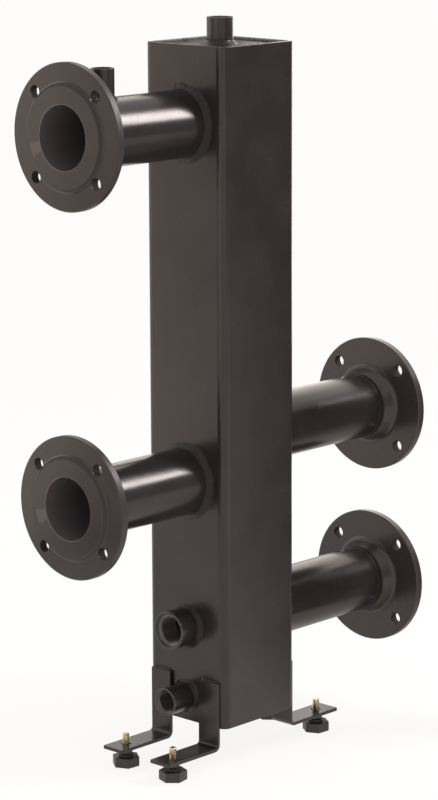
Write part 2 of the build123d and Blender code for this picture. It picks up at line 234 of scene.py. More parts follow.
def bead(seam, length, section, welds, seed, closed=True, root=(-1, -1), face_points=8):
    """Rippled bead. seam(u) gives its root and the directions of its two legs, for u from 0 to 1.

    root says how many sinks its long sides lie from the seam's root, along each leg.
    """
    ripples = round(length / welds.ripple_pitch)
    along, across = ripples * welds.ripple_steps, face_points + 1
    bm = bmesh.new()
    bmesh.ops.create_grid(bm, x_segments=along, y_segments=across, size=0.5)
    for vert in bm.verts:
        u = round((vert.co.x + 0.5) * along) / along
        if closed:
            u %= 1.0
        row = round((vert.co.y + 0.5) * across)
        foot, a, b = seam(u)
        if row in (0, across):
            vert.co = foot + (a * root[0] + b * root[1]) * welds.sink
            continue
        t = (row - 1) / (face_points - 1)
        size, shift = unevenness(u, length, welds, seed, closed)
        phase = u * ripples + welds.ripple_lean * (2 * t - 1) ** 2 + shift
        ridge = (0.5 - 0.5 * math.cos(math.tau * phase)) * math.sin(math.pi * t)
        x, y = section(t)
        grow = size + welds.ripple_height * (ridge - 0.5) / max(math.hypot(x, y), MM)
        vert.co = foot + a * x * grow + b * y * grow
    bmesh.ops.remove_doubles(bm, verts=bm.verts, dist=MM / 500)
    if not closed:
        bmesh.ops.holes_fill(bm, edges=[e for e in bm.edges if e.is_boundary], sides=0)
    return bm


def lay_bead(name, bm, node):
    """Make a bead a piece that stands for a node. Its ripples are shaded smooth."""
    add_piece(name, bm, BEAD_PAINT, node, smooth_below=60.0)


def ring_seam(centre, normal, radius):
    """Round a tube that stands on a flat: one leg lies on the flat, the other runs up the tube."""
    side = normal.orthogonal().normalized()
    other = normal.cross(side)

    def seam(u):
        radial = side * math.cos(u * math.tau) + other * math.sin(u * math.tau)
        return centre + radial * radius, radial, normal
    return seam


def band_seam(centre, normal, radius):
    """Round a tube over a butt joint: one leg runs along the tube, the other stands out of it."""
    ring = ring_seam(centre, normal, radius)

    def seam(u):
        foot, radial, along = ring(u)
        return foot, along, radial
    return seam


def saddle_seam(axis_point, radius, pipe_radius):
    """Where an upright tube meets a pipe along X: the first leg lies on the pipe."""
    def seam(u):
        radial = Vector((math.cos(u * math.tau), math.sin(u * math.tau), 0))
        rise = math.sqrt(pipe_radius**2 - (radius * radial.y) ** 2)
        out_of_pipe = Vector((0, radius * radial.y, rise)) / pipe_radius
        along_pipe = (radial - out_of_pipe * radial.dot(out_of_pipe)).normalized()
        return axis_point + radial * radius + Z * rise, along_pipe, Z
    return seam


def square_seam(half, corner, height, up):
    """Inside a rounded square opening, and its length: the first leg lies towards the middle."""
    straight, turn = 2 * (half - corner), corner * math.pi / 2

    def seam(u):
        quarter, rest = divmod(u * 4, 1)
        run = rest * (straight + turn)
        if run < straight:
            point, inward = Vector((half, run - straight / 2, 0)), -X
        else:
            angle = (run - straight) / corner
            radial = Vector((math.cos(angle), math.sin(angle), 0))
            point, inward = Vector((half - corner, half - corner, 0)) + radial * corner, -radial
        turned_to = Matrix.Rotation(quarter * math.pi / 2, 3, "Z")
        return turned_to @ point + Z * height, turned_to @ inward, Z * up
    return seam, 4 * (straight + turn)


def straight_seam(start, end, a, b):
    """From one point to another, with the same two legs all the way."""
    def seam(u):
        return start.lerp(end, u), a, b
    return seam


# Sockets: each is drawn about Z and then turned to the way that it points

def socket_profile(radius, root, funnel, length, funnel_depth, edges):
    """Outside, lip, funnel and thread's root of a socket as (radius, height) points, edges rounded."""
    edge, top, funnel_end = edges.socket, length - edges.socket, length - funnel_depth
    cone_end = funnel_end - 3 * edge
    rim = rounded(Vector((radius - edge, top)), edge, 0.0, math.pi / 2)
    mouth = rounded(Vector((radius - edges.lip - edge, top)), edge, math.pi / 2, math.pi)
    inner = rounded(Vector((funnel + edge, funnel_end - edge)), edge, math.pi / 2, math.pi)
    return [(root, 0), (radius, 0), *rim, *mouth, *inner, (root, cone_end)]


def cut_to_pipe(bm, foot_height, pipe_radius):
    """Bring an upright socket's foot on to a pipe along X, whose axis is foot_height below it."""
    at_foot = MM / 100
    for vert in bm.verts:
        if vert.co.z < at_foot:
            vert.co.z = math.sqrt(pipe_radius**2 - vert.co.y**2) - foot_height


def threaded_socket(name, thread, funnel_depth, turn):
    """One socket and its bead. The gauge socket stands on a pipe, the others on a flat."""
    scene = bpy.context.scene
    welds = scene.separator_welds
    crest, pitch = thread
    root = crest + pitch * scene.separator_threads.pipe_thread_depth
    low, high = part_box(f"{name}_socket")
    radius = (high.y - low.y) / 2
    axis = turn @ Z
    upright = axis.z > 0.5
    length = (high.z - low.z) if upright else (high.x - low.x)
    foot = Vector((low.x + radius, 0, low.z)) if upright else Vector((high.x, 0, low.z + radius))
    bm = bmesh.new()
    profile = socket_profile(radius, root, crest + FUNNEL, length, funnel_depth, scene.separator_edges)
    turned(bm, profile)
    thread_ridge(bm, root, crest, pitch, pitch / 4, length - funnel_depth)
    if name == "gauge":
        pipe_low, pipe_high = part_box("pipe_left_upper")
        pipe_radius = (pipe_high.y - pipe_low.y) / 2
        pipe_axis = pipe_low.z + pipe_radius
        cut_to_pipe(bm, foot.z - pipe_axis, pipe_radius)
        seam, leg = saddle_seam(Vector((foot.x, 0, pipe_axis)), radius, pipe_radius), welds.gauge_leg
    else:
        seam, leg = ring_seam(foot, axis, radius), welds.socket_leg
    bmesh.ops.transform(bm, matrix=Matrix.Translation(foot) @ turn.to_4x4(), verts=bm.verts)
    paint = PAINT if upright else f"{PAINT}_on_{name}_socket"
    add_piece(f"{name}_threaded_socket", bm, paint, f"{name}_socket")
    section = fillet_section(leg, leg, HOLLOW_FACE)
    bm = bead(seam, math.tau * radius, section, welds, seed=31 + ord(name[0]))
    lay_bead(f"{name}_bead", bm, f"{name}_socket_weld")


# Finishes

NOISE_RANGE = {"From Min": 0.3, "From Max": 0.7}        # nearly all of a noise's values
CLOUD_RANGE = {"From Min": 0.35, "From Max": 0.65}      # narrower, for clouds with clearer edges
DRIFT_RANGE = {"From Min": 0.38, "From Max": 0.62}      # narrower still, for the drift of the zinc's colour
FACTOR, FIRST, SECOND, MIXED = 0, 6, 7, 2               # a Mix node's sockets for colours


def srgb(code):
    """Linear colour of an sRGB hex value such as "2A2826"."""
    channels = [int(code[i:i + 2], 16) / 255 for i in (0, 2, 4)]
    return [c / 12.92 if c <= 0.04045 else ((c + 0.055) / 1.055) ** 2.4 for c in channels] + [1.0]


def add_node(tree, kind, inputs=None, output=None, **settings):
    """Add a shader node with its settings, its inputs set to values or linked to other outputs."""
    node = tree.nodes.new(f"ShaderNode{kind}")
    for key, value in settings.items():
        setattr(node, key, value)
    for key, value in (inputs or {}).items():
        if isinstance(value, bpy.types.NodeSocket):
            tree.links.new(value, node.inputs[key])
        else:
            node.inputs[key].default_value = value
    return node if output is None else node.outputs[output]


def new_material(name):
    """Empty material and its tree."""
    material = bpy.data.materials.new(name)
    material.use_nodes = True
    material.node_tree.nodes.clear()
    return material, material.node_tree


def about_axis(tree, place, node):
    """Place along, across and up from the middle of a node, and the distance from its axis along X."""
    offset = add_node(tree, "VectorMath", {0: place, 1: middle(node)}, "Vector", operation="SUBTRACT")
    parts = add_node(tree, "SeparateXYZ", {"Vector": offset})
    off_axis = add_node(tree, "VectorMath", {0: offset, 1: (0, 1, 1)}, "Vector", operation="MULTIPLY")
    radius = add_node(tree, "VectorMath", {0: off_axis}, "Value", operation="LENGTH")
    return parts.outputs["X"], parts.outputs["Y"], parts.outputs["Z"], radius


def band(tree, value, centre, half, fade):
    """Share that is 1 where a value is within half a width of a centre, and fades to 0 beyond."""
    off_centre = add_node(tree, "Math", {0: value, 1: centre}, "Value", operation="SUBTRACT")
    distance = add_node(tree, "Math", {0: off_centre}, "Value", operation="ABSOLUTE")
    limits = {"Value": distance, "From Min": half + fade, "From Max": half}
    return add_node(tree, "MapRange", limits, "Result")


def black_paint(name, paint, roughness, peel=(2.4, 0.007), marks=None, thin=0.0, sheen=None):
    """Sprayed, stoved satin black over steel.

    A faint orange peel, of a width and a depth in millimetres, gives highlights soft, slightly wavy
    edges. The black is warm, and a little lighter and duller in clouds, where the film is thin.
    marks(tree, place) gives what a piece has besides: colours laid over the black, roughness added
    and height added, each as pairs of a share and a colour or an amount. thin lays a paler colour
    over the whole piece at that share: painted light, which only the flanges get.
    """
    material, tree = new_material(name)
    place = add_node(tree, "TexCoord", output="Object")
    cloud_size, mist_size = 55.0 * MM, 4.0 * MM
    cloud_gloss, mist_gloss = 0.02, 0.012       # how far each moves the roughness either way
    peel_width, peel_depth = peel
    cloud = add_node(tree, "TexNoise", {"Vector": place, "Scale": 1 / cloud_size, "Detail": 3.0}, "Fac")
    mist = add_node(tree, "TexNoise", {"Vector": place, "Scale": 1 / mist_size}, "Fac")
    shade = add_node(tree, "MapRange", {"Value": cloud, **CLOUD_RANGE}, "Result")
    colour = add_node(
        tree, "Mix", {FACTOR: shade, FIRST: srgb(paint.dark), SECOND: srgb(paint.light)}, MIXED,
        data_type="RGBA",
    )
    limits = {"To Min": -cloud_gloss, "To Max": cloud_gloss}
    duller = add_node(tree, "MapRange", {"Value": cloud, **NOISE_RANGE, **limits}, "Result")
    limits = {"To Min": roughness - mist_gloss, "To Max": roughness + mist_gloss}
    gloss = add_node(tree, "MapRange", {"Value": mist, **NOISE_RANGE, **limits}, "Result")
    gloss = add_node(tree, "Math", {0: duller, 1: gloss}, "Value", operation="ADD")
    waves = add_node(
        tree, "TexNoise", {"Vector": place, "Scale": 1 / (peel_width * MM), "Detail": 1.0}, "Fac"
    )
    height = add_node(tree, "Math", {0: waves, 1: peel_depth * MM}, "Value", operation="MULTIPLY")
    colours, added_gloss, added_height = marks(tree, place) if marks else ([], [], [])
    # thin lays a paler colour over the whole piece: painted light.
    for share, code in [(thin, paint.rubbed), *colours]:
        colour = add_node(
            tree, "Mix", {FACTOR: share, FIRST: colour, SECOND: srgb(code)}, MIXED, data_type="RGBA"
        )
    for share, amount in added_gloss:
        inputs = {0: share, 1: amount, 2: gloss}
        gloss = add_node(tree, "Math", inputs, "Value", operation="MULTIPLY_ADD")
    for share, amount in added_height:
        inputs = {0: share, 1: amount, 2: height}
        height = add_node(tree, "Math", inputs, "Value", operation="MULTIPLY_ADD")
    bump = add_node(tree, "Bump", {"Strength": 1.0, "Distance": 1.0, "Height": height}, "Normal")
    shader = add_node(tree, "BsdfPrincipled", {
        "Base Color": colour, "Roughness": gloss, "Normal": bump, "IOR": 1.5,
        "Specular Tint": srgb(sheen or paint.sheen),
    }, "BSDF")
    add_node(tree, "OutputMaterial", {"Surface": shader})
    return material


def bare_inside(tree, radius, paint):
    """Colour of a bore: mill scale, which the paint didn't reach."""
    return band(tree, radius, centre=0.0, half=BORE_EDGE, fade=0.2 * MM), paint.bare


def bare_bore(stub, paint):
    """Marks of a pipe: its inside is bare."""
    def marks(tree, place):
        radius = about_axis(tree, place, f"pipe_{stub}")[-1]
        return [bare_inside(tree, radius, paint)], [], []
    return marks


def turned_flange(stub, paint):
    """Marks of a flange: turning marks round its axis, a bare bore and dull walls in its bolt holes.

    Real turning marks are too fine to show, so these are coarser. The left flanges turn their faces
    to the camera, so they also have painted shade in the step round the raised face, a dull rim and a paler
    wedge by the bore.
    """
    low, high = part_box(f"flange_{stub}")
    disc_middle = side_of(stub) * ((high.x - low.x) / 2 - RAISED_FACE - DISC / 2)

    def marks(tree, place):
        along, across, up, radius = about_axis(tree, place, f"flange_{stub}")
        per_metre = math.tau / paint.turning_pitch
        turn = add_node(tree, "Math", {0: radius, 1: per_metre}, "Value", operation="MULTIPLY")
        groove = add_node(tree, "Math", {0: turn}, "Value", operation="SINE")
        in_disc = band(tree, along, disc_middle, half=DISC / 2 - 0.6 * MM, fade=0.4 * MM)
        at_holes = band(tree, radius, BOLT_CIRCLE, half=8.5 * MM, fade=0.5 * MM)
        drilled = add_node(tree, "Math", {0: in_disc, 1: at_holes}, "Value", operation="MULTIPLY")
        colours = [bare_inside(tree, radius, paint)]
        gloss = [(drilled, paint.drilled_gloss)]
        if side_of(stub) < 0:
            on_rim = band(tree, radius, RIM, half=0.2 * MM, fade=0.2 * MM)
            # Painted shade: the step round the raised face gets a dark colour, and is made rougher.
            in_step = band(tree, radius, STEP, half=1.4 * MM, fade=1.0 * MM)
            step_shade = add_node(tree, "Math", {0: in_step, 1: paint.step_shade_cover}, "Value", operation="MULTIPLY")
            # A paler wedge with ragged sides by the bore.
            rubbed = paler_wedge(tree, place, across, up, radius, paint)
            colours += [(step_shade, paint.painted_step_shade), (rubbed, paint.rubbed)]
            gloss += [(on_rim, paint.rim_gloss), (in_step, paint.step_gloss), (rubbed, paint.wedge_gloss)]
        return colours, gloss, [(groove, paint.turning_depth)]
    return marks


def paler_wedge(tree, place, across, up, radius, paint):
    """Share of a wedge with ragged sides, from a flange's bore to short of its step."""
    middle_angle, ragged = -0.33, 0.3       # in radians, from +Y towards +Z
    rag_size, bore_fade = 12.0 * MM, 0.8 * MM
    angle = add_node(tree, "Math", {0: up, 1: across}, "Value", operation="ARCTAN2")
    rags = add_node(tree, "TexNoise", {"Vector": place, "Scale": 1 / rag_size}, "Fac")
    frayed = add_node(tree, "Math", {0: rags, 1: ragged, 2: angle}, "Value", operation="MULTIPLY_ADD")
    wedge = band(tree, frayed, middle_angle + ragged / 2, half=0.13, fade=0.07)
    limits = {"From Min": BORE_EDGE, "From Max": BORE_EDGE + bore_fade, "To Max": paint.wedge_cover}
    past_bore = add_node(tree, "MapRange", {"Value": radius, **limits}, "Result")
    before_step = band(tree, radius, centre=0.0, half=50.0 * MM, fade=1.5 * MM)
    ring = add_node(tree, "Math", {0: past_bore, 1: before_step}, "Value", operation="MULTIPLY")
    return add_node(tree, "Math", {0: wedge, 1: ring}, "Value", operation="MULTIPLY")


def painted_edge_highlights(socket, funnel, paint):
    """Marks of a side socket: painted highlights on the edges of its mouth."""
    low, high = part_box(socket)
    outside, mouth = (high.y - low.y) / 2, (low.x - high.x) / 2

    def marks(tree, place):
        along, _, _, radius = about_axis(tree, place, socket)
        # Painted highlight: a paler colour on the funnel's inner edge and round the outer rim of the mouth.
        inner = band(tree, radius, centre=funnel + 0.3 * MM, half=0.2 * MM, fade=0.4 * MM)
        at_rim = band(tree, radius, outside, half=0.5 * MM, fade=0.3 * MM)
        at_mouth = band(tree, along, mouth, half=0.3 * MM, fade=0.2 * MM)
        outer = add_node(tree, "Math", {0: at_rim, 1: at_mouth}, "Value", operation="MULTIPLY")
        outer = add_node(tree, "Math", {0: outer, 1: paint.outer_highlight}, "Value", operation="MULTIPLY")
        painted_highlight = add_node(tree, "Math", {0: inner, 1: outer}, "Value", operation="MAXIMUM")
        return [(painted_highlight, paint.edges)], [], []
    return marks


def yellow_zinc(name, zinc):
    """Steel thread with a yellow-passivated zinc coat: pale brassy, with a drift to green and pink."""
    material, tree = new_material(name)
    place = add_node(tree, "TexCoord", output="Object")
    drift_size, cloud_size, smooth, dull = 6.0 * MM, 1.5 * MM, 0.18, 0.30
    drift = add_node(tree, "TexNoise", {"Vector": place, "Scale": 1 / drift_size, "Detail": 3.0}, "Fac")
    cloud = add_node(tree, "TexNoise", {"Vector": place, "Scale": 1 / cloud_size}, "Fac")
    shade = add_node(tree, "MapRange", {"Value": drift, **DRIFT_RANGE}, "Result")
    colour = add_node(
        tree, "Mix", {FACTOR: shade, FIRST: srgb(zinc.zinc_pale), SECOND: srgb(zinc.zinc_deep)}, MIXED,
        data_type="RGBA",
    )
    gloss = add_node(
        tree, "MapRange", {"Value": cloud, **NOISE_RANGE, "To Min": smooth, "To Max": dull}, "Result"
    )
    shader = add_node(
        tree, "BsdfPrincipled", {"Base Color": colour, "Roughness": gloss, "Metallic": 1.0}, "BSDF"
    )
    add_node(tree, "OutputMaterial", {"Surface": shader})


def moulded_plastic(name, plastic):
    """Injection moulded black polyamide: a spark-eroded grain, duller and greyer than the paint.

    The real grain is too fine to show, so this one is coarser.
    """
    material, tree = new_material(name)
    place = add_node(tree, "TexCoord", output="Object")
    cloud_size, pit_size, pit_depth = 12.0 * MM, 0.7 * MM, 0.02 * MM
    smooth, dull = 0.42, 0.5
    cloud = add_node(tree, "TexNoise", {"Vector": place, "Scale": 1 / cloud_size}, "Fac")
    pits = add_node(tree, "TexNoise", {"Vector": place, "Scale": 1 / pit_size, "Detail": 1.0}, "Fac")
    colour = add_node(
        tree, "Mix",
        {FACTOR: cloud, FIRST: srgb(plastic.plastic_dark), SECOND: srgb(plastic.plastic_light)}, MIXED,
        data_type="RGBA",
    )
    gloss = add_node(
        tree, "MapRange", {"Value": cloud, **NOISE_RANGE, "To Min": smooth, "To Max": dull}, "Result"
    )
    height = add_node(tree, "Math", {0: pits, 1: pit_depth}, "Value", operation="MULTIPLY")
    bump = add_node(tree, "Bump", {"Strength": 1.0, "Distance": 1.0, "Height": height}, "Normal")
    shader = add_node(tree, "BsdfPrincipled", {
        "Base Color": colour, "Roughness": gloss, "Normal": bump, "IOR": 1.53,
    }, "BSDF")
    add_node(tree, "OutputMaterial", {"Surface": shader})


# Stage

BACKDROP = "FFFDFC"             # what the camera sees of floor and surroundings
FLOOR = "E8E6E4"                # the floor as it lights the object
FILL = "FFFAF5"                 # the surroundings as they light the object
CARD = "FFF6EE"                 # light of the cards


def stage_mesh(name, bm, material):
    """Floor or card that isn't part of the object."""
    mesh = bpy.data.meshes.new(name)
    bm.to_mesh(mesh)
    bm.free()
    mesh.materials.append(material)
    thing = bpy.data.objects.new(name, mesh)
    bpy.context.scene.collection.objects.link(thing)
    return thing


def seen_rays(tree):
    """1 for the rays that show the backdrop: the camera's, mirrored ones and those through glass."""
    path = add_node(tree, "LightPath")
    seen = path.outputs["Is Camera Ray"]
    for ray in ("Is Glossy Ray", "Is Transmission Ray"):
        seen = add_node(tree, "Math", {0: seen, 1: path.outputs[ray]}, "Value", operation="MAXIMUM")
    return seen


def make_floor():
    """White floor: shows nearly white to the camera and in gloss, and keeps a faint shadow."""
    glow, glow_share, radius = 1.05, 0.85, 9.0
    material, tree = new_material("white_studio_floor")
    matt = add_node(tree, "BsdfDiffuse", {"Color": srgb(FLOOR)}, "BSDF")
    white = add_node(tree, "Emission", {"Color": srgb(BACKDROP), "Strength": glow}, "Emission")
    share = add_node(tree, "Math", {0: seen_rays(tree), 1: glow_share}, "Value", operation="MULTIPLY")
    mix = add_node(tree, "MixShader", {0: share, 1: matt, 2: white}, "Shader")
    add_node(tree, "OutputMaterial", {"Surface": mix})
    bm = bmesh.new()
    bmesh.ops.create_circle(bm, cap_ends=True, radius=radius, segments=96)
    stage_mesh("studio_floor", bm, material)


def make_world(scene, studio):
    """White surroundings for the camera and in gloss, and an even soft light for the rest."""
    world = bpy.data.worlds.new("studio_world")
    world.use_nodes = True
    tree = world.node_tree
    tree.nodes.clear()
    seen = add_node(tree, "Background", {"Color": srgb(BACKDROP), "Strength": 1.0}, "Background")
    fill = add_node(tree, "Background", {"Color": srgb(FILL), "Strength": studio.fill}, "Background")
    mix = add_node(tree, "MixShader", {0: seen_rays(tree), 1: fill, 2: seen}, "Shader")
    add_node(tree, "OutputWorld", {"Surface": mix})
    scene.world = world


def make_card(name, first, last, start_deg, end_deg, strength, shades=False):
    """Curved card round the object that only gloss sees, between two points (radius, height).

    Angles turn from +Y towards +X. One that shades also keeps the soft box off what lies behind it.
    """
    start, end = math.radians(start_deg), math.radians(end_deg)
    outwards = Vector((math.sin(start), math.cos(start), 0))
    bm = bmesh.new()
    verts = [bm.verts.new(outwards * radius + Z * height) for radius, height in (first, last)]
    edge = bm.edges.new(verts)
    bmesh.ops.spin(bm, geom=[*verts, edge], axis=-Z, cent=(0, 0, 0), angle=end - start, steps=24)
    material, tree = new_material(f"{name}_cloth")
    glow = add_node(tree, "Emission", {"Color": srgb(CARD), "Strength": strength}, "Emission")
    add_node(tree, "OutputMaterial", {"Surface": glow})
    card = stage_mesh(name, bm, material)
    for kind in ("camera", "diffuse", "transmission", "volume_scatter"):
        setattr(card, f"visible_{kind}", False)
    card.visible_shadow = shades


def make_lamp(name, place, target, size, power):
    """Rectangular soft box at a place, aimed at a target."""
    data = bpy.data.lights.new(name, "AREA")
    data.shape = "RECTANGLE"
    data.size, data.size_y = size
    data.energy = power
    lamp = bpy.data.objects.new(name, data)
    place, target = Vector(place), Vector(target)
    turn = (target - place).to_track_quat("-Z", "Y").to_matrix().to_4x4()
    lamp.matrix_world = Matrix.Translation(place) @ turn
    lamp.visible_camera = False
    bpy.context.scene.collection.objects.link(lamp)


def make_lights(studio):
    """Soft box, and the cards that give the gloss what the photograph's studio gave it."""
    make_lamp(
        "key_soft_box", place=(1.26, -1.08, 1.76), target=(-0.15, 0.0, 0.60), size=(0.45, 0.90),
        power=studio.key_power,
    )
    room, shade, rear, backdrop = studio.room, studio.shade, studio.rear, studio.rear_left
    mat = 0.003                 # height of the mats, just over the floor
    make_card("flag", (0.4, 0.0), (0.4, 0.8), 118, 131, 0.7 * room, shades=True)
    # Name, two opposite corners as (radius, height), first and last angle, brightness
    cards = (
        ("near_screen", (0.9, 0.0), (0.9, 0.85), 95, 137, room),
        ("dark_mat", (0.4, mat), (0.9, mat), 112, 137, 2.6 * room),
        ("near_mat", (0.22, mat), (0.4, mat), 45, 137, 5.5 * room),
        ("grey_mat", (0.4, mat), (0.8, mat), 45, 112, 5.5 * room),
        ("dim_room", (2.6, 0.15), (2.6, 1.8), 95, 185, 2.7 * room),
        ("left_strip", (2.6, 0.0), (2.6, 2.0), -101, -95, studio.strip),
        ("back_light", (1.1, 0.35), (1.1, 1.25), 51, 100, studio.back),
        ("back_shade", (1.1, 0.95), (1.1, 1.2), 25, 49, 0.4 * shade),
        ("back_low_shade", (1.1, 0.5), (1.1, 0.94), 45, 49, shade),
        ("back_low_light", (1.1, 0.5), (1.1, 0.94), 33, 44.8, rear),
        ("back_high_light", (1.1, 1.26), (1.1, 1.75), 36, 61, 1.25 * rear),
        ("rear_left_light", (6.0, 0.0), (6.0, 3.0), -45.4, -25, backdrop),
        ("rear_left_shade", (6.0, 0.0), (6.0, 3.0), -56, -45.6, 0.12 * backdrop),
        ("far_light_mat", (2.6, mat), (6.0, mat), -45.4, -30, 0.8 * backdrop),
        ("far_shade_mat", (2.6, mat), (6.0, mat), -56, -45.8, 0.12 * backdrop),
        ("near_light_mat", (1.2, mat), (2.6, mat), -49.6, -35, 0.8 * backdrop),
        ("near_shade_mat", (1.2, mat), (2.6, mat), -62, -49.8, 0.12 * backdrop),
    )
    for card in cards:
        make_card(*card)


def make_camera(scene, studio):
    """Camera at the photograph's place, looking the photograph's way."""
    yaw, pitch, roll = studio.yaw, studio.pitch, studio.roll
    forward = Vector((math.sin(yaw) * math.cos(pitch), math.cos(yaw) * math.cos(pitch), -math.sin(pitch)))
    right = Vector((math.cos(yaw), -math.sin(yaw), 0.0))
    up = right.cross(forward)
    tilted_right = right * math.cos(roll) + up * math.sin(roll)
    tilted_up = up * math.cos(roll) - right * math.sin(roll)
    data = bpy.data.cameras.new("photo_camera")
    data.sensor_width = 36.0
    data.lens = studio.lens
    data.clip_start, data.clip_end = 0.05, 60.0
    camera = bpy.data.objects.new("photo_camera", data)
    turn = Matrix((tilted_right, tilted_up, -forward)).transposed()
    camera.matrix_world = Matrix.Translation(Vector(studio.eye)) @ turn.to_4x4()
    scene.collection.objects.link(camera)
    scene.camera = camera


# Sizes and colours that a user would change

def length_property(name, description, millimetres):
    """Length that is given in millimetres and kept in metres."""
    return FloatProperty(
        name=name, description=description, default=millimetres * MM, min=0.0, subtype="DISTANCE",
        unit="LENGTH",
    )


def share_property(name, description, share):
    """Share from 0 to 1."""
    return FloatProperty(
        name=name, description=description, default=share, min=0.0, max=1.0, subtype="FACTOR"
    )


def colour_property(name, description, code):
    """Colour as an sRGB hex value."""
    return StringProperty(name=name, description=f"{description}, sRGB hex", default=code)


def angle_property(name, description, degrees):
    """Angle that is given in degrees and kept in radians."""
    return FloatProperty(
        name=name, description=description, default=math.radians(degrees), subtype="ANGLE",
        unit="ROTATION",
    )


def brightness_property(name, description, brightness):
    """Strength of something that glows, where 1 is white."""
    return FloatProperty(name=name, description=description, default=brightness, min=0.0)


class SeparatorWelds(bpy.types.PropertyGroup):
    ripple_pitch: length_property("Ripple pitch", "Distance from one ripple to the next", 2.6)
    ripple_height: length_property("Ripple height", "How far a ripple stands above its valley", 0.14)
    ripple_lean: share_property("Ripple lean", "How far a ripple's ends trail its middle, in ripples", 0.45)
    ripple_steps: IntProperty(name="Ripple steps", description="Faces along one ripple", default=6, min=3)
    wander: share_property("Wander", "How unevenly a bead runs, as a share of its leg", 0.22)
    wander_length: length_property("Wander length", "Distance over which a bead's width changes", 18.0)
    end_length: length_property("End length", "Distance over which an open bead's end rounds off", 4.0)
    end_size: share_property("End size", "Size of an open bead at its very end", 0.35)
    sink: length_property("Sink", "How far a bead's root lies inside the steel", 0.3)
    stub_leg: length_property("Stub weld leg", "Leg of the beads where pipes meet the chamber", 6.0)
    socket_leg: length_property("Socket weld leg", "Leg of the beads round the sockets", 4.8)
    gauge_leg: length_property("Gauge weld leg", "Leg of the bead round the gauge socket", 3.6)
    cap_leg: length_property("Cap weld leg", "Leg of the beads round the end plates", 3.2)
    cap_corner: length_property("Cap weld corner", "Corner radius of the beads round the end plates", 5.0)
    bracket_leg: length_property("Bracket weld leg", "Leg of the beads on the brackets", 2.4)
    bracket_inset: length_property("Bracket weld inset", "How far a bead ends from its bracket's side", 1.2)


class SeparatorEdges(bpy.types.PropertyGroup):
    chamber: length_property("Chamber", "Rounding of the chamber's sawn ends", 0.6)
    bracket: length_property("Bracket", "Rounding of the brackets' edges", 0.5)
    nut: length_property("Weld nut", "Rounding of the weld nuts' edges", 0.25)
    base: length_property("Base", "Rounding of the foot bases' edges", 0.2)
    socket: length_property("Socket", "Rounding of the sockets' edges", 0.5)
    lip: length_property("Socket lip", "Width of the lip round a socket's funnel", 1.0)
    stud: length_property("Stud", "Chamfer on the studs' ends", 1.0)


class SeparatorThreads(bpy.types.PropertyGroup):
    half_inch_crest: length_property("1/2 inch crest", "Crest radius inside the vent and gauge sockets", 9.3)
    half_inch_pitch: length_property("1/2 inch pitch", "Pitch inside the vent and gauge sockets", 1.814)
    three_quarter_crest: length_property("3/4 inch crest", "Crest radius inside the probe socket", 12.05)
    three_quarter_pitch: length_property("3/4 inch pitch", "Pitch inside the probe socket", 1.814)
    one_inch_crest: length_property("1 inch crest", "Crest radius inside the drain socket", 15.15)
    one_inch_pitch: length_property("1 inch pitch", "Pitch inside the drain socket", 2.309)
    pipe_thread_depth: share_property("Thread depth", "Depth of a pipe thread as a share of its pitch", 0.64)
    vent_funnel: length_property("Vent funnel", "Depth of the vent socket's funnel", 2.0)
    gauge_funnel: length_property("Gauge funnel", "Depth of the gauge socket's funnel", 1.6)
    drain_funnel: length_property("Drain funnel", "Depth of the drain socket's funnel", 3.0)
    probe_funnel: length_property("Probe funnel", "Depth of the probe socket's funnel", 3.6)
    stud_pitch: length_property("Stud pitch", "Pitch of the foot studs", 1.25)
    stud_depth: length_property("Stud thread depth", "Depth of the foot studs' thread", 0.5)


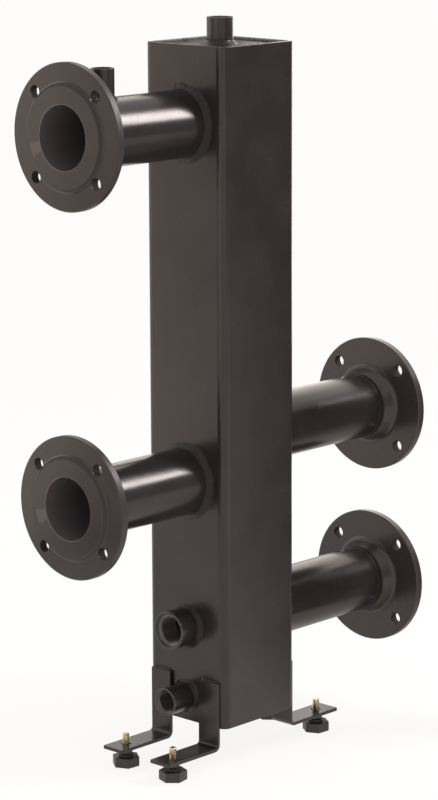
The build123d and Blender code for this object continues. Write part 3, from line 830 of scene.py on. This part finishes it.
class SeparatorFinishes(bpy.types.PropertyGroup):
    dark: colour_property("Paint, dark", "Darker end of the paint's black", "242021")
    light: colour_property("Paint, light", "Lighter end of the paint's black", "2A2627")
    sheen: colour_property("Paint sheen", "Tint of the paint's gloss", "FFF2EE")
    bare: colour_property("Bare inside", "Mill scale inside pipes and chamber", "5E575A")
    # A paler colour: laid over a wedge by a left flange's bore, and, by the thinness shares, over whole
    # flanges as painted light.
    rubbed: colour_property("Rubbed paint", "Paint rubbed thin beside a bore", "5A4F4B")
    wedge_cover: share_property("Rubbed share", "How far the rubbed wedge shows", 0.75)
    wedge_gloss: share_property("Rubbed roughness", "Extra roughness of the rubbed wedge", 0.12)
    # Painted shade in the step round a left flange's raised face: its colour, its share and its extra
    # roughness.
    painted_step_shade: colour_property("Dust", "Dust that lies in the step of a flange's face", "16100F")
    step_shade_cover: share_property("Dust share", "How far the dust covers the paint", 0.5)
    step_gloss: share_property("Dust roughness", "Extra roughness of the dusty step", 0.3)
    # Painted highlight on the edges of the side sockets' mouths: its colour, and its share on the outer rim.
    edges: colour_property("Thin edges", "Paint pulled thin on the side sockets' edges", "7C7773")
    outer_highlight: share_property("Outer thinness", "How thin the film is on those sockets' outer edges", 0.4)
    chamber_gloss: share_property("Chamber roughness", "Roughness of the film on chamber and sockets", 0.25)
    pipe_gloss: share_property("Pipe roughness", "Roughness of the film on the pipes", 0.23)
    left_gloss: share_property("Left roughness", "Roughness of the film on the left flanges", 0.17)
    right_gloss: share_property("Right roughness", "Roughness of the film on the right flanges", 0.27)
    bead_gloss: share_property("Bead roughness", "Roughness of the film on the beads", 0.34)
    bead_sheen: colour_property("Bead sheen", "Tint of the beads' gloss, duller than elsewhere", "ADA49F")
    # Painted light: how much paler colour lies over the left and over the right flanges.
    left_painted_light: share_property("Left thinness", "How thin the film is on the left flanges", 0.08)
    right_painted_light: share_property("Right thinness", "How thin the film is on the right flanges", 0.2)
    rim_gloss: share_property("Rim roughness", "Extra roughness of the film on a flange's rim", 0.26)
    drilled_gloss: share_property("Hole roughness", "Extra roughness inside the bolt holes", 0.75)
    turning_pitch: length_property("Turning pitch", "Pitch of the marks on a flange, coarser than real", 1.6)
    turning_depth: length_property("Turning depth", "Depth of the marks on a flange", 0.006)
    zinc_pale: colour_property("Zinc, pale", "Paler zinc", "E0DAB4")
    zinc_deep: colour_property("Zinc, deep", "Deeper zinc", "A9966C")
    plastic_dark: colour_property("Plastic, dark", "Darker end of the bases' black", "241F1C")
    plastic_light: colour_property("Plastic, light", "Lighter end of the bases' black", "2F2925")


class SeparatorStudio(bpy.types.PropertyGroup):
    lens: FloatProperty(
        name="Lens", description="Focal length on a 36 mm long side", default=132.65, unit="CAMERA"
    )
    eye: FloatVectorProperty(
        name="Eye", description="Where the camera stands", default=(-2.39991, -2.25528, 1.09927),
        subtype="TRANSLATION", unit="LENGTH",
    )
    yaw: angle_property("Yaw", "Turn of the view from +Y towards +X", 46.733)
    pitch: angle_property("Pitch", "How far the view looks down", 11.749)
    roll: angle_property("Roll", "Turn of the picture", -0.224)
    key_power: FloatProperty(
        name="Key power", description="Power of the soft box", default=28.5, unit="POWER"
    )
    fill: brightness_property("Fill", "Strength of the light from all round", 0.85)
    room: brightness_property("Room", "Brightness of the dim room in front", 0.12)
    back: brightness_property("Back light", "Brightness of the large card behind the object", 2.5)
    rear: brightness_property("Rear light", "Brightness of the smaller light cards behind the object", 2.1)
    shade: brightness_property("Back shade", "Brightness of the dark cards behind the object", 0.25)
    rear_left: brightness_property("Rear left", "Brightness of the backdrop rear left", 2.4)
    strip: brightness_property("Strip", "Brightness of the narrow strip at the left", 3.0)


# Operators

class SEPARATOR_OT_finishes(bpy.types.Operator):
    """Make the finishes and give the nodes that stay theirs"""
    bl_idname = "separator.finishes"
    bl_label = "Finishes"

    def execute(self, context):
        finishes, threads = context.scene.separator_finishes, context.scene.separator_threads
        paint = black_paint(PAINT, finishes, finishes.chamber_gloss)
        black_paint(
            BEAD_PAINT, finishes, finishes.bead_gloss, peel=(1.6, 0.02), sheen=finishes.bead_sheen
        )
        black_paint(BAR_PAINT, finishes, finishes.chamber_gloss, peel=(6.0, 0.006))
        for name, crest in (("drain", threads.one_inch_crest), ("probe", threads.three_quarter_crest)):
            black_paint(
                f"{PAINT}_on_{name}_socket", finishes, finishes.chamber_gloss,
                marks=painted_edge_highlights(f"{name}_socket", crest + FUNNEL, finishes),
            )
        yellow_zinc(ZINC, finishes)
        moulded_plastic(PLASTIC, finishes)
        own = {}
        for stub in STUBS:
            left = side_of(stub) < 0
            own[f"flange_{stub}"] = black_paint(
                f"{PAINT}_on_turned_flange_{stub}", finishes,
                finishes.left_gloss if left else finishes.right_gloss,
                marks=turned_flange(stub, finishes),
                # Painted light: a paler colour over each flange, more on the right ones.
                thin=finishes.left_painted_light if left else finishes.right_painted_light,
            )
            own[f"pipe_{stub}"] = black_paint(
                f"{PAINT}_on_drawn_pipe_{stub}", finishes, finishes.pipe_gloss,
                marks=bare_bore(stub, finishes),
            )
        for name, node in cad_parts.items():
            node.data.materials.clear()
            node.data.materials.append(own.get(name, paint))
        return {"FINISHED"}


class SEPARATOR_OT_chamber(bpy.types.Operator):
    """Round the sawn ends of the chamber and lay the beads round its end plates"""
    bl_idname = "separator.chamber"
    bl_label = "Chamber and end plates"

    def execute(self, context):
        welds, edges = context.scene.separator_welds, context.scene.separator_edges
        eased("chamber_tube", "chamber", edges.chamber, PAINT)
        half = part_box("top_cap_weld")[1].x
        leg_on_plate = 1.6 * welds.cap_leg
        section = fillet_section(leg_on_plate, welds.cap_leg)
        ends = (("top_cap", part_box("top_cap")[1].z, 1), ("bottom_cap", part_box("bottom_cap")[0].z, -1))
        for number, (cap, height, up) in enumerate(ends):
            seam, length = square_seam(half, welds.cap_corner, height, up)
            lay_bead(f"{cap}_bead", bead(seam, length, section, welds, seed=20 + number), f"{cap}_weld")
        return {"FINISHED"}


class SEPARATOR_OT_stub_welds(bpy.types.Operator):
    """Lay the beads where the pipes meet the chamber and the flanges' necks"""
    bl_idname = "separator.stub_welds"
    bl_label = "Stub welds"

    def execute(self, context):
        welds = context.scene.separator_welds
        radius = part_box("pipe_right_upper")[1].y
        around = math.tau * radius
        leg_on_chamber = 1.2 * welds.stub_leg
        fillet = fillet_section(leg_on_chamber, welds.stub_leg, HOLLOW_FACE)
        lap, crown_share = 0.6 * MM, 0.6
        for number, stub in enumerate(STUBS):
            outwards = X * side_of(stub)
            root, butt = f"root_weld_{stub}", f"butt_weld_{stub}"
            seam = ring_seam(stub_centre(stub, near_face(root, side_of(stub))), outwards, radius)
            lay_bead(f"root_bead_{stub}", bead(seam, around, fillet, welds, seed=1 + number), root)
            low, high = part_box(butt)
            # A little wider than the solid, to lap over the groove, and lower, to leave room for ripples
            crown = crown_section((high.x - low.x) / 2 + lap, crown_share * (high.y - radius))
            seam = band_seam(stub_centre(stub, middle(butt).x), outwards, radius)
            bm = bead(seam, around, crown, welds, seed=11 + number, root=(0, -3))
            lay_bead(f"butt_bead_{stub}", bm, butt)
        return {"FINISHED"}


class SEPARATOR_OT_sockets(bpy.types.Operator):
    """Turn the threaded sockets and lay the beads round them"""
    bl_idname = "separator.sockets"
    bl_label = "Sockets"

    def execute(self, context):
        threads = context.scene.separator_threads
        half_inch = (threads.half_inch_crest, threads.half_inch_pitch)
        three_quarter = (threads.three_quarter_crest, threads.three_quarter_pitch)
        one_inch = (threads.one_inch_crest, threads.one_inch_pitch)
        upwards = Matrix.Identity(3)
        leftwards = Matrix.Rotation(-math.pi / 2, 3, "Y")
        threaded_socket("vent", half_inch, threads.vent_funnel, upwards)
        threaded_socket("gauge", half_inch, threads.gauge_funnel, upwards)
        threaded_socket("drain", one_inch, threads.drain_funnel, leftwards)
        threaded_socket("probe", three_quarter, threads.probe_funnel, leftwards)
        return {"FINISHED"}


class SEPARATOR_OT_brackets(bpy.types.Operator):
    """Round the brackets' and weld nuts' edges and lay the beads that hold the brackets"""
    bl_idname = "separator.brackets"
    bl_label = "Brackets and weld nuts"

    def execute(self, context):
        welds, edges = context.scene.separator_welds, context.scene.separator_edges
        chamber_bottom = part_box("chamber_tube")[0].z
        inset = Vector((0, welds.bracket_inset, 0))
        upright_leg = 1.25 * welds.bracket_leg
        section = fillet_section(welds.bracket_leg, upright_leg)
        for number, foot in enumerate(FEET):
            bracket, outwards = f"bracket_{foot}", X * side_of(foot)
            eased(bracket, f"bent_bracket_{foot}", edges.bracket, BAR_PAINT)
            eased(f"weld_nut_{foot}", f"nut_{foot}", edges.nut, PAINT)
            low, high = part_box(bracket)
            face = near_face(bracket, side_of(foot))
            beads = []
            for height, a, b in ((high.z, outwards, Z), (chamber_bottom, -outwards, -Z)):
                start = Vector((face, low.y, height)) + inset
                end = Vector((face, high.y, height)) - inset
                seed = 51 + 2 * number + len(beads)
                seam = straight_seam(start, end, a, b)
                beads.append(bead(seam, (end - start).length, section, welds, seed, closed=False))
            lay_bead(f"bracket_bead_{foot}", joined(beads), f"bracket_weld_{foot}")
        return {"FINISHED"}


class SEPARATOR_OT_feet(bpy.types.Operator):
    """Cut the studs' threads and round the bases' edges"""
    bl_idname = "separator.feet"
    bl_label = "Levelling feet"

    def execute(self, context):
        threads, edges = context.scene.separator_threads, context.scene.separator_edges
        run_out, tip = 0.3 * MM, 0.4 * MM       # cones on the thread's core, above the base and on its end
        for foot in FEET:
            body, base, stud = f"foot_{foot}", f"foot_base_{foot}", f"stud_{foot}"
            eased(base, f"hexagon_base_{foot}", edges.base, PLASTIC, body)
            low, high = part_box(stud)
            crest = (high.x - low.x) / 2
            root = crest - threads.stud_depth
            base_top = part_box(base)[1].z
            bm = bmesh.new()
            turned(bm, [
                (0, low.z), (crest, low.z), (crest, base_top), (root, base_top + run_out),
                (root, high.z - tip), (crest - edges.stud, high.z), (0, high.z),
            ], steps=48)
            core = set(bm.verts)
            thread_ridge(bm, root, crest, threads.stud_pitch, base_top, high.z)
            for vert in set(bm.verts) - core:
                radius = vert.co.xy.length
                limit = crest - max(0.0, vert.co.z - (high.z - edges.stud))
                if radius > limit:
                    vert.co.xy *= limit / radius
            centre = middle(stud)
            bmesh.ops.translate(bm, vec=(centre.x, centre.y, 0), verts=bm.verts)
            add_piece(f"threaded_stud_{foot}", bm, ZINC, stud, body)
        return {"FINISHED"}


class SEPARATOR_OT_stage(bpy.types.Operator):
    """Set up floor, surroundings, lamp, cards and camera"""
    bl_idname = "separator.stage"
    bl_label = "Stage"

    def execute(self, context):
        studio = context.scene.separator_studio
        make_floor()
        make_world(context.scene, studio)
        make_lights(studio)
        make_camera(context.scene, studio)
        context.scene.view_settings.view_transform = "Standard"
        return {"FINISHED"}


# Add-on

class SEPARATOR_PT_panel(bpy.types.Panel):
    """Sizes, colours and build steps of the separator"""
    bl_idname = "SEPARATOR_PT_panel"
    bl_label = "Separator"
    bl_space_type = "VIEW_3D"
    bl_region_type = "UI"
    bl_category = "Separator"

    def draw(self, context):
        for group, kind in SETTINGS.items():
            for key in kind.__annotations__:
                self.layout.prop(getattr(context.scene, group), key)
        for step in STEPS:
            self.layout.operator(step.bl_idname)


SETTINGS = {
    "separator_welds": SeparatorWelds,
    "separator_edges": SeparatorEdges,
    "separator_threads": SeparatorThreads,
    "separator_finishes": SeparatorFinishes,
    "separator_studio": SeparatorStudio,
}
STEPS = (
    SEPARATOR_OT_finishes,
    SEPARATOR_OT_chamber,
    SEPARATOR_OT_stub_welds,
    SEPARATOR_OT_sockets,
    SEPARATOR_OT_brackets,
    SEPARATOR_OT_feet,
    SEPARATOR_OT_stage,
)


def register():
    for group, kind in SETTINGS.items():
        bpy.utils.register_class(kind)
        setattr(bpy.types.Scene, group, PointerProperty(type=kind))
    for kind in (*STEPS, SEPARATOR_PT_panel):
        bpy.utils.register_class(kind)


def unregister():
    for kind in (SEPARATOR_PT_panel, *reversed(STEPS)):
        bpy.utils.unregister_class(kind)
    for group, kind in SETTINGS.items():
        delattr(bpy.types.Scene, group)
        bpy.utils.unregister_class(kind)


def main():
    register()
    bpy.ops.separator.finishes()
    bpy.ops.separator.chamber()
    bpy.ops.separator.stub_welds()
    bpy.ops.separator.sockets()
    bpy.ops.separator.brackets()
    bpy.ops.separator.feet()
    bpy.ops.separator.stage()


if __name__ == "__main__":
    main()
